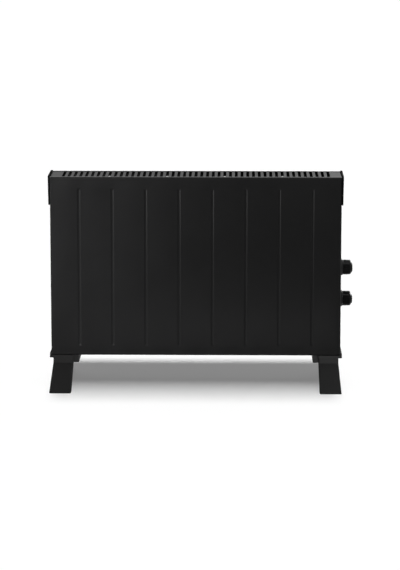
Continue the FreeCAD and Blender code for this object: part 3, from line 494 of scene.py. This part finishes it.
def wedge(axis, start, end):
    """A strip that is drawn out step by step round the knob and widened a little each time."""
    bpy.ops.object.select_all(action="DESELECT")
    bpy.ops.mesh.primitive_plane_add(size=WEDGE_THIN)
    piece = bpy.context.object
    bpy.ops.object.mode_set(mode="EDIT")
    choose(piece, "VERT", lambda v: v.co.x < 0)
    bpy.ops.mesh.delete(type="VERT")
    bpy.ops.mesh.select_all(action="SELECT")
    bpy.ops.transform.translate(value=(-WEDGE_THIN / 2, 0.0, 0.0))
    bpy.ops.transform.rotate(value=math.pi / 2, orient_axis="X", center_override=(0, 0, 0))
    bpy.ops.transform.translate(value=(PLATE, axis.y, axis.z + WEDGE_RING))
    turn_about_knob(axis, math.radians(start))
    growth = (WEDGE_THICK / WEDGE_THIN) ** (1 / WEDGE_STEPS)
    for _ in range(WEDGE_STEPS):
        bpy.ops.mesh.extrude_edges_move()
        turn_about_knob(axis, math.radians((end - start) / WEDGE_STEPS))
        ends = [v.co for v in bmesh.from_edit_mesh(piece.data).verts if v.select]
        centre = sum(ends, Vector()) / len(ends)
        bpy.ops.transform.resize(value=(growth,) * 3, center_override=centre)
    bpy.ops.mesh.select_all(action="SELECT")
    bpy.ops.mesh.normals_make_consistent(inside=False)
    bpy.ops.object.mode_set(mode="OBJECT")
    apply_modifier(piece, "ink", "SOLIDIFY", thickness=INK, offset=0.0)
    pick(piece)
    bpy.ops.object.mode_set(mode="EDIT")
    bpy.ops.mesh.select_all(action="SELECT")
    bpy.ops.mesh.normals_make_consistent(inside=False)
    bpy.ops.transform.translate(value=(INK / 2, 0.0, 0.0))
    bpy.ops.object.mode_set(mode="OBJECT")
    return piece


prints.append(printed("thermostat_wedge", [wedge(AXES["thermostat"], WEDGE_START, THERMOSTAT_TURN)]))

# %% Numbers
NUMBER_HIGH = 6.0 * MM
NUMBER_RING = 30.5 * MM


def number(text, axis, angle):
    """A figure on the plate, upright, at an angle round the axis of the knob."""
    bpy.ops.object.select_all(action="DESELECT")
    bpy.ops.object.text_add()
    piece = bpy.context.object
    piece.data.body = text
    piece.data.align_x = "CENTER"
    piece.data.align_y = "CENTER"
    piece.data.size = NUMBER_HIGH
    piece.data.extrude = INK / 2
    piece.data.resolution_u = 4
    bpy.ops.object.convert(target="MESH")
    piece = bpy.context.object
    bpy.ops.object.mode_set(mode="EDIT")
    bpy.ops.mesh.select_all(action="SELECT")
    bpy.ops.mesh.remove_doubles(threshold=SAME_POINT)
    bpy.ops.object.mode_set(mode="OBJECT")
    piece.rotation_euler = (math.pi / 2, 0.0, math.pi / 2)
    out = Vector((0.0, math.sin(math.radians(angle)), math.cos(math.radians(angle))))
    piece.location = Vector((PLATE + INK / 2, axis.y, axis.z)) + NUMBER_RING * out
    bpy.ops.object.transform_apply(location=True, rotation=True, scale=True)
    return piece


figures = [
    number(str(setting), AXES["selector"], angle) for setting, angle in enumerate(selector_angles)]
prints.append(printed("selector_numbers", figures))

# %% [markdown]
# ## Shared surface effects
# Three effects turn up in several finishes, so each is a node group with its own inputs: the
# orange-peel skin of powder coat, the fine spark-eroded grain of moulded plastic, and the drawn
# lines of rolled metal. A group only hands out values; each material decides what to do with them.

# %% Node helpers
def new_group(name, inputs, outputs):
    group = bpy.data.node_groups.new(name, "ShaderNodeTree")
    group.interface.new_socket(name="Vector", in_out="INPUT", socket_type="NodeSocketVector")
    for label, value in inputs:
        socket = group.interface.new_socket(name=label, in_out="INPUT", socket_type="NodeSocketFloat")
        socket.default_value = value
    for label in outputs:
        group.interface.new_socket(name=label, in_out="OUTPUT", socket_type="NodeSocketFloat")
    source = group.nodes.new("NodeGroupInput")
    target = group.nodes.new("NodeGroupOutput")
    return group, source, target


def add_node(tree, kind, **settings):
    node = tree.nodes.new(kind)
    for setting, value in settings.items():
        setattr(node, setting, value)
    return node


def feed(tree, value, socket):
    """Sets a socket to a number, or links an output to it."""
    if isinstance(value, (int, float)):
        socket.default_value = value
    else:
        tree.links.new(value, socket)


def math_node(tree, operation, first, second):
    node = add_node(tree, "ShaderNodeMath", operation=operation)
    feed(tree, first, node.inputs[0])
    feed(tree, second, node.inputs[1])
    return node.outputs[0]


def noise_node(tree, vector, scale, detail):
    node = add_node(tree, "ShaderNodeTexNoise")
    tree.links.new(vector, node.inputs["Vector"])
    feed(tree, scale, node.inputs["Scale"])
    node.inputs["Detail"].default_value = detail
    node.inputs["Roughness"].default_value = 0.5
    return node.outputs["Fac"]


# %% Orange peel
BROAD_SHARE, FINE_SHARE = 0.7, 0.3
PEEL_CLOUDS = 9.0

orange_peel, source, target = new_group(
    "orange_peel", [("Cells", 700.0), ("Specks", 1800.0)], ["Height", "Gloss"])
place = source.outputs["Vector"]
broad = noise_node(orange_peel, place, source.outputs["Cells"], detail=1.0)
fine = noise_node(orange_peel, place, source.outputs["Specks"], detail=1.0)
broad = math_node(orange_peel, "MULTIPLY", broad, BROAD_SHARE)
fine = math_node(orange_peel, "MULTIPLY", fine, FINE_SHARE)
orange_peel.links.new(math_node(orange_peel, "ADD", broad, fine), target.inputs["Height"])
clouds = noise_node(orange_peel, place, PEEL_CLOUDS, detail=3.0)
orange_peel.links.new(clouds, target.inputs["Gloss"])
print("orange_peel:", len(orange_peel.nodes), "nodes")

# %% Moulded grain
GRAIN_CLOUDS = 14.0

moulded_grain, source, target = new_group("moulded_grain", [("Cells", 1400.0)], ["Height", "Cloud"])
place = source.outputs["Vector"]
grain = add_node(moulded_grain, "ShaderNodeTexVoronoi", feature="SMOOTH_F1")
moulded_grain.links.new(place, grain.inputs["Vector"])
moulded_grain.links.new(source.outputs["Cells"], grain.inputs["Scale"])
moulded_grain.links.new(grain.outputs["Distance"], target.inputs["Height"])
clouds = noise_node(moulded_grain, place, GRAIN_CLOUDS, detail=3.0)
moulded_grain.links.new(clouds, target.inputs["Cloud"])
print("moulded_grain:", len(moulded_grain.nodes), "nodes")

# %% Drawn lines
TONE_CLOUDS = 60.0

drawn_lines, source, target = new_group(
    "drawn_lines", [("Across", 900.0), ("Along", 12.0)], ["Height", "Tone"])
place = source.outputs["Vector"]
stretch = add_node(drawn_lines, "ShaderNodeCombineXYZ")
for axis, label in enumerate(("Along", "Across", "Across")):
    drawn_lines.links.new(source.outputs[label], stretch.inputs[axis])
scaled = add_node(drawn_lines, "ShaderNodeVectorMath", operation="MULTIPLY")
drawn_lines.links.new(place, scaled.inputs[0])
drawn_lines.links.new(stretch.outputs[0], scaled.inputs[1])
lines = noise_node(drawn_lines, scaled.outputs[0], 1.0, detail=3.0)
drawn_lines.links.new(lines, target.inputs["Height"])
clouds = noise_node(drawn_lines, place, TONE_CLOUDS, detail=4.0)
drawn_lines.links.new(clouds, target.inputs["Tone"])
print("drawn_lines:", len(drawn_lines.nodes), "nodes")

# %% [markdown]
# ## Finishes
# Each finish starts from one Principled shader. What is the same all over is set on its sockets;
# what changes over the surface comes through the groups: base colour between two close tones,
# roughness in soft clouds, and a bump of a few hundredths of a millimetre.

# %% A finish from a group
NOISE_LOW, NOISE_HIGH = 0.3, 0.7


def new_finish(name, rough, specular=0.5, metallic=0.0):
    material = bpy.data.materials.new(name)
    material.use_nodes = True
    shader = material.node_tree.nodes["Principled BSDF"]
    shader.inputs["Roughness"].default_value = rough
    shader.inputs["Metallic"].default_value = metallic
    shader.inputs["Specular IOR Level"].default_value = specular
    return material, material.node_tree, shader


def use_group(tree, group, **values):
    """Places a shared group in a material, reading the object's own coordinates."""
    node = add_node(tree, "ShaderNodeGroup", node_tree=group)
    place = add_node(tree, "ShaderNodeTexCoord")
    tree.links.new(place.outputs["Object"], node.inputs["Vector"])
    for label, value in values.items():
        node.inputs[label].default_value = value
    return node


def between(tree, share, dark, light):
    """A colour that runs from one tone to another across the middle of a noise."""
    ramp = add_node(tree, "ShaderNodeValToRGB")
    ramp.color_ramp.elements[0].position = NOISE_LOW
    ramp.color_ramp.elements[1].position = NOISE_HIGH
    ramp.color_ramp.elements[0].color = (*dark, 1.0)
    ramp.color_ramp.elements[1].color = (*light, 1.0)
    tree.links.new(share, ramp.inputs["Fac"])
    return ramp.outputs["Color"]


def spread(tree, share, centre, reach):
    """A value that runs from below to above a centre across the middle of a noise."""
    node = add_node(tree, "ShaderNodeMapRange")
    tree.links.new(share, node.inputs["Value"])
    node.inputs["From Min"].default_value = NOISE_LOW
    node.inputs["From Max"].default_value = NOISE_HIGH
    node.inputs["To Min"].default_value = centre - reach
    node.inputs["To Max"].default_value = centre + reach
    return node.outputs["Result"]


def bump(tree, shader, height, depth, strength):
    node = add_node(tree, "ShaderNodeBump")
    node.inputs["Strength"].default_value = strength
    node.inputs["Distance"].default_value = depth
    tree.links.new(height, node.inputs["Height"])
    tree.links.new(node.outputs["Normal"], shader.inputs["Normal"])


# %% Black powder coat
PEEL_CELLS, PEEL_SPECKS, PEEL_DEPTH = 700.0, 1900.0, 0.03 * MM


def powder_coat(name, dark, light, specular, rough):
    material, tree, shader = new_finish(name, rough, specular=specular)
    skin = use_group(tree, orange_peel, Cells=PEEL_CELLS, Specks=PEEL_SPECKS)
    clouds = skin.outputs["Gloss"]
    tree.links.new(between(tree, clouds, dark, light), shader.inputs["Base Color"])
    tree.links.new(spread(tree, clouds, rough, 0.04), shader.inputs["Roughness"])
    bump(tree, shader, skin.outputs["Height"], PEEL_DEPTH, 0.5)
    return material


panel_paint = powder_coat(
    "panel_paint", (0.0039, 0.0039, 0.0040), (0.0046, 0.0046, 0.0047), specular=0.075, rough=0.34)
# Painted light: the top grille gets the front's black coat in a lighter tone, so that the top reads
# lighter than the front.
lit_grille_paint = powder_coat(
    "lit_grille_paint", (0.0105, 0.0105, 0.0107), (0.0120, 0.0120, 0.0122), specular=0.06, rough=0.45)
# Painted shade: the rear panel gets the front's black coat with almost no reflection and a lighter tone,
# so that its edge seen over the top reads dark.
shaded_back_paint = powder_coat(
    "shaded_back_paint", (0.0090, 0.0090, 0.0092), (0.0105, 0.0105, 0.0107), specular=0.01, rough=0.65)
print("powder coats:", panel_paint.name, lit_grille_paint.name, shaded_back_paint.name)


# %% Mouldings
def grey(tone):
    return (tone, tone, tone)


def moulded_plastic(name, dark, light, specular, rough, cells, depth):
    """Plastic with a fine grain: cells to a metre, and the depth of its bump in millimetres."""
    material, tree, shader = new_finish(name, rough, specular=specular)
    skin = use_group(tree, moulded_grain, Cells=cells)
    clouds = skin.outputs["Cloud"]
    tree.links.new(between(tree, clouds, dark, light), shader.inputs["Base Color"])
    tree.links.new(spread(tree, clouds, rough, 0.05), shader.inputs["Roughness"])
    bump(tree, shader, skin.outputs["Height"], depth * MM, 0.6)
    return material


BLACKS = {
    "cap_plastic": (0.0022, 0.0034, 0.005, 0.7, 1600.0, 0.04),
    "foot_plastic": (0.0208, 0.0240, 0.05, 0.55, 1300.0, 0.05),
    "knob_plastic": (0.0016, 0.0026, 0.05, 0.2, 2500.0, 0.01),
    "dial_plastic": (0.004, 0.006, 0.15, 0.35, 2000.0, 0.02),
    "gland_plastic": (0.008, 0.012, 0.3, 0.4, 1500.0, 0.03),
    "pad_rubber": (0.016, 0.024, 0.2, 0.8, 900.0, 0.06),
}
for name, (dark, light, *rest) in BLACKS.items():
    moulded_plastic(name, grey(dark), grey(light), *rest)
moulded_plastic("control_plastic", (0.62, 0.58, 0.5), (0.7, 0.66, 0.58), 0.4, 0.5, 1200.0, 0.03)
moulded_plastic("element_ceramic", (0.7, 0.66, 0.58), (0.82, 0.79, 0.72), 0.5, 0.25, 500.0, 0.02)
pointer_paint = moulded_plastic(
    "pointer_paint", (0.72, 0.72, 0.7), (0.8, 0.8, 0.78), 0.4, 0.45, 1800.0, 0.01)
print("mouldings:", sorted(BLACKS))

# %% Sleeves of the wires
SLEEVES = {
    "wire_brown": ((0.13, 0.05, 0.025), (0.17, 0.07, 0.035)),
    "wire_red": ((0.4, 0.02, 0.015), (0.5, 0.03, 0.02)),
    "wire_blue": ((0.02, 0.07, 0.36), (0.03, 0.1, 0.45)),
    "wire_green": ((0.08, 0.32, 0.03), (0.12, 0.4, 0.05)),
}
for name, (dark, light) in SLEEVES.items():
    moulded_plastic(name, dark, light, 0.4, 0.4, 900.0, 0.02)
print("sleeves:", sorted(SLEEVES))


# %% Metals
def rolled_metal(name, dark, light, rough, across, along):
    """Bare metal with drawn lines; across and along are how fine they are each way."""
    material, tree, shader = new_finish(name, rough, metallic=1.0)
    skin = use_group(tree, drawn_lines, Across=across, Along=along)
    lines = skin.outputs["Height"]
    tree.links.new(between(tree, skin.outputs["Tone"], dark, light), shader.inputs["Base Color"])
    tree.links.new(spread(tree, lines, rough, 0.08), shader.inputs["Roughness"])
    bump(tree, shader, lines, 0.01 * MM, 0.5)


rolled_metal("bright_zinc", (0.24, 0.24, 0.235), (0.32, 0.32, 0.315), 0.42, 500.0, 500.0)
rolled_metal("black_zinc", (0.025, 0.025, 0.027), (0.045, 0.045, 0.047), 0.35, 700.0, 700.0)
rolled_metal("bare_steel", (0.42, 0.43, 0.43), (0.58, 0.58, 0.57), 0.38, 120.0, 90.0)
rolled_metal("element_aluminium", (0.6, 0.6, 0.59), (0.75, 0.75, 0.74), 0.35, 900.0, 20.0)
rolled_metal("terminal_brass", (0.62, 0.44, 0.18), (0.75, 0.56, 0.26), 0.3, 600.0, 40.0)


# %% Give every piece its finish
def dress(piece, material):
    piece.data.materials.clear()
    piece.data.materials.append(material)


for node, slot in slot_of.items():
    dress(nodes[node], bpy.data.materials[slot])
# The top grille and the rear panel are dressed in the lighter and the duller copy of the front's coat:
# painted light and painted shade.
lit_and_shaded_coats = {"rear_panel": shaded_back_paint, "top_grille": lit_grille_paint}
for node, piece in skins.items():
    dress(piece, lit_and_shaded_coats.get(node, bpy.data.materials[slot_of[node]]))
for piece in prints:
    dress(piece, pointer_paint)
print("finishes:", sorted(set(slot_of.values())))

# %% [markdown]
# ## Floor and background
# The photograph is a studio picture on pure white with one soft shadow under the casing. The floor
# is a matt white. A faint glow that only the camera and reflections see lifts it to pure white
# without lighting the heater. The background works the same way: it is white to look at, but
# only a small share of it lights the heater.

# %% Floor
FLOOR_SIZE = 60.0
FLOOR_TONE = 0.88
FLOOR_GLOW = 0.17
WHITE = (1.0, 1.0, 1.0, 1.0)


def seen_rays(tree):
    """1 for what the camera sees, directly, in a reflection or through glass, and 0 otherwise."""
    path = add_node(tree, "ShaderNodeLightPath")
    seen = math_node(tree, "MAXIMUM", path.outputs["Is Camera Ray"], path.outputs["Is Glossy Ray"])
    return math_node(tree, "MAXIMUM", seen, path.outputs["Is Transmission Ray"])


bpy.ops.object.select_all(action="DESELECT")
bpy.ops.mesh.primitive_plane_add(size=FLOOR_SIZE)
floor = bpy.context.object
floor.name = "floor"
floor_white, tree, shader = new_finish("floor_white", 0.9, specular=0.0)
shader.inputs["Base Color"].default_value = (FLOOR_TONE, FLOOR_TONE, FLOOR_TONE, 1.0)
shader.inputs["Emission Color"].default_value = WHITE
tree.links.new(
    math_node(tree, "MULTIPLY", seen_rays(tree), FLOOR_GLOW), shader.inputs["Emission Strength"])
dress(floor, floor_white)
print("floor:", FLOOR_SIZE, "m, glow", FLOOR_GLOW)

# %% World
AMBIENT = 0.12
world = bpy.context.scene.world or bpy.data.worlds.new("studio")
bpy.context.scene.world = world
world.use_nodes = True
tree = world.node_tree
background = tree.nodes["Background"]
extra = math_node(tree, "MULTIPLY", seen_rays(tree), 1.0 - AMBIENT)
background.inputs["Color"].default_value = WHITE
tree.links.new(math_node(tree, "ADD", extra, AMBIENT), background.inputs["Strength"])
print("world: lights the heater with", AMBIENT, "of its white")

# %% [markdown]
# ## The shadow between the feet
# The shadow in the photograph is a soft band between the feet, dark under the casing, with a
# long fade to the front and a short one to the rear. A studio gets such a band from a black card
# that keeps a row of lamps off the floor: the higher an edge of the card, the softer its shadow.
# The card here is seen by nothing but the floor lamps, and the floor lamps light only the floor.

# %% Shadow card
CARD_FRONT, CARD_REAR = Vector((0.0, -0.106, 0.215)), Vector((0.0, 0.238, 0.062))
CARD_INSET = 0.012
bpy.ops.object.select_all(action="DESELECT")
bpy.ops.mesh.primitive_plane_add(size=1.0)
card = bpy.context.object
card.name = "shadow_card"
card_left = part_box("foot_left")[0].x + CARD_INSET
card_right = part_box("foot_right")[1].x - CARD_INSET
bpy.ops.object.mode_set(mode="EDIT")
for edge, place in ((-1, CARD_FRONT), (1, CARD_REAR)):
    choose(card, "VERT", lambda v: v.co.y * edge > 0.25)
    bpy.ops.transform.translate(value=(0.0, place.y - edge * 0.5, place.z))
bpy.ops.mesh.select_all(action="SELECT")
bpy.ops.transform.resize(value=(card_right - card_left, 1.0, 1.0), center_override=(0.0, 0.0, 0.0))
bpy.ops.transform.translate(value=((card_left + card_right) / 2, 0.0, 0.0))
bpy.ops.object.mode_set(mode="OBJECT")
card.visible_camera = False
card.visible_diffuse = False
card.visible_glossy = False
card.visible_transmission = False
dress(card, floor_white)
print("card:", round(card_right - card_left, 3), "m wide")


# %% Aiming and linking lamps
def aim(lamp, target):
    lamp.rotation_euler = (Vector(target) - lamp.location).to_track_quat("-Z", "Y").to_euler()


def light_list(name, state, *pieces):
    """A list of pieces that a lamp takes in or leaves out."""
    collection = bpy.data.collections.new(name)
    for piece in pieces:
        collection.objects.link(piece)
    for entry in collection.collection_objects:
        entry.light_linking.link_state = state
    return collection


# %% Row of floor lamps
FLOOR_LAMPS = 7
FLOOR_LIGHT = 2.65
FLOOR_LAMP_ANGLE = math.radians(10)
FLOOR_LAMP_HEIGHT = 3.0
FAN = 0.577
for place in range(FLOOR_LAMPS):
    lean = FAN * (2 * (place + 0.5) / FLOOR_LAMPS - 1)
    spot = (0.0, FLOOR_LAMP_HEIGHT * lean, FLOOR_LAMP_HEIGHT)
    bpy.ops.object.light_add(type="SUN", location=spot)
    lamp = bpy.context.object
    lamp.name = f"floor_lamp_{place + 1}"
    lamp.data.energy = FLOOR_LIGHT / FLOOR_LAMPS * math.hypot(lean, 1.0)
    lamp.data.angle = FLOOR_LAMP_ANGLE
    aim(lamp, (0.0, 0.0, 0.0))
    lamp.light_linking.receiver_collection = light_list(f"{lamp.name}_on", "INCLUDE", floor)
    lamp.light_linking.blocker_collection = light_list(f"{lamp.name}_behind", "INCLUDE", card)
print("floor lamps:", FLOOR_LAMPS)

# %% [markdown]
# ## Lamps on the heater
# These lamps leave the floor alone and shine through the card.
# The key is a large soft box almost overhead, for the outlet grille and the bend under it. The
# window is a spot from the left that brightens the left of the front and fades across it.
# The strip and the crest stand far to the left and graze the front, so that the right-hand wall
# of each groove shows as a bright line. The strip lights the whole line, the crest mostly its top.
# The glint opens up the left-hand walls, and the low box lights the lower part of the front. The feet
# would be too bright in these, so they have a lamp of their own, the step. The rim gives the bars of the
# grille their sheen, and two boxes light the rear.

# %% Kinds of lamps
def light_heater(lamp, spared, only):
    """The lamp leaves the floor and the spared pieces alone, or lights a few pieces only."""
    if only:
        receivers = light_list(f"{lamp.name}_on", "INCLUDE", *only)
    else:
        receivers = light_list(f"{lamp.name}_off", "EXCLUDE", floor, *spared)
    lamp.light_linking.receiver_collection = receivers
    lamp.light_linking.blocker_collection = light_list(f"{lamp.name}_through", "EXCLUDE", card)


def softbox(name, place, target, width, height, power, spared=(), only=()):
    bpy.ops.object.light_add(type="AREA", location=place)
    lamp = bpy.context.object
    lamp.name = name
    lamp.data.shape = "RECTANGLE"
    lamp.data.size = width
    lamp.data.size_y = height
    lamp.data.energy = power
    aim(lamp, target)
    light_heater(lamp, spared, only)


def soft_spot(name, place, target, opening, power, size, spared, stretch=1.0):
    """A spot that fades from its middle to its rim; stretch makes its pool taller."""
    bpy.ops.object.light_add(type="SPOT", location=place)
    lamp = bpy.context.object
    lamp.name = name
    lamp.scale.y = stretch
    lamp.data.energy = power
    lamp.data.spot_size = math.radians(opening)
    lamp.data.spot_blend = 1.0
    lamp.data.shadow_soft_size = size
    aim(lamp, target)
    light_heater(lamp, spared, only=())


# %% Lamps in front
GRAZING_PLACE = (-6.0, -2.2, 0.22)
GRAZING_OPENING = 5.7
feet = [skins["foot_left"], skins["foot_right"]]
softbox("key", (0.5, -0.6, 2.7), (0.0, 0.0, 0.3), width=1.6, height=1.6, power=44.0, spared=feet)
soft_spot(
    "strip", GRAZING_PLACE, (0.18, -0.05, 0.28), GRAZING_OPENING, power=860.0, size=0.1,
    spared=feet, stretch=2.5)
soft_spot(
    "crest", GRAZING_PLACE, (0.18, -0.05, 0.95), GRAZING_OPENING, power=5000.0, size=0.1,
    spared=feet, stretch=2.0)
soft_spot(
    "window", (-1.1, -1.9, 0.9), (-0.60, -0.05, 0.36), opening=25.0, power=640.0, size=0.4, spared=feet)
softbox("low", (0.05, -0.60, 0.02), (0.05, -0.05, 0.12), width=0.7, height=0.03, power=0.54, spared=feet)
softbox("step", (1.1, -2.8, 0.5), (0.0, 0.0, 0.1), width=1.0, height=0.6, power=53.0, only=feet)
softbox("glint", (1.5, -0.46, 0.2), (0.2, -0.05, 0.25), width=0.12, height=0.3, power=1.6, spared=feet)

# %% Lamps behind
seen_from_front = [skins[node] for node in ("front_panel", "top_grille", "end_cap_left", "end_cap_right")]
rear_panel = skins["rear_panel"]
softbox(
    "rim", (1.2, 2.6, 1.5), (0.2, 0.0, 0.5), width=1.2, height=0.8, power=28.0,
    spared=[rear_panel, *feet])
for side, name in ((-1, "rear_left"), (1, "rear_right")):
    softbox(
        name, (side * 2.0, 1.9, 0.45), (0.0, 0.0, 0.25), width=1.4, height=0.7, power=70.0,
        spared=[*seen_from_front, *feet])

bpy.context.scene.view_settings.view_transform = "Standard"
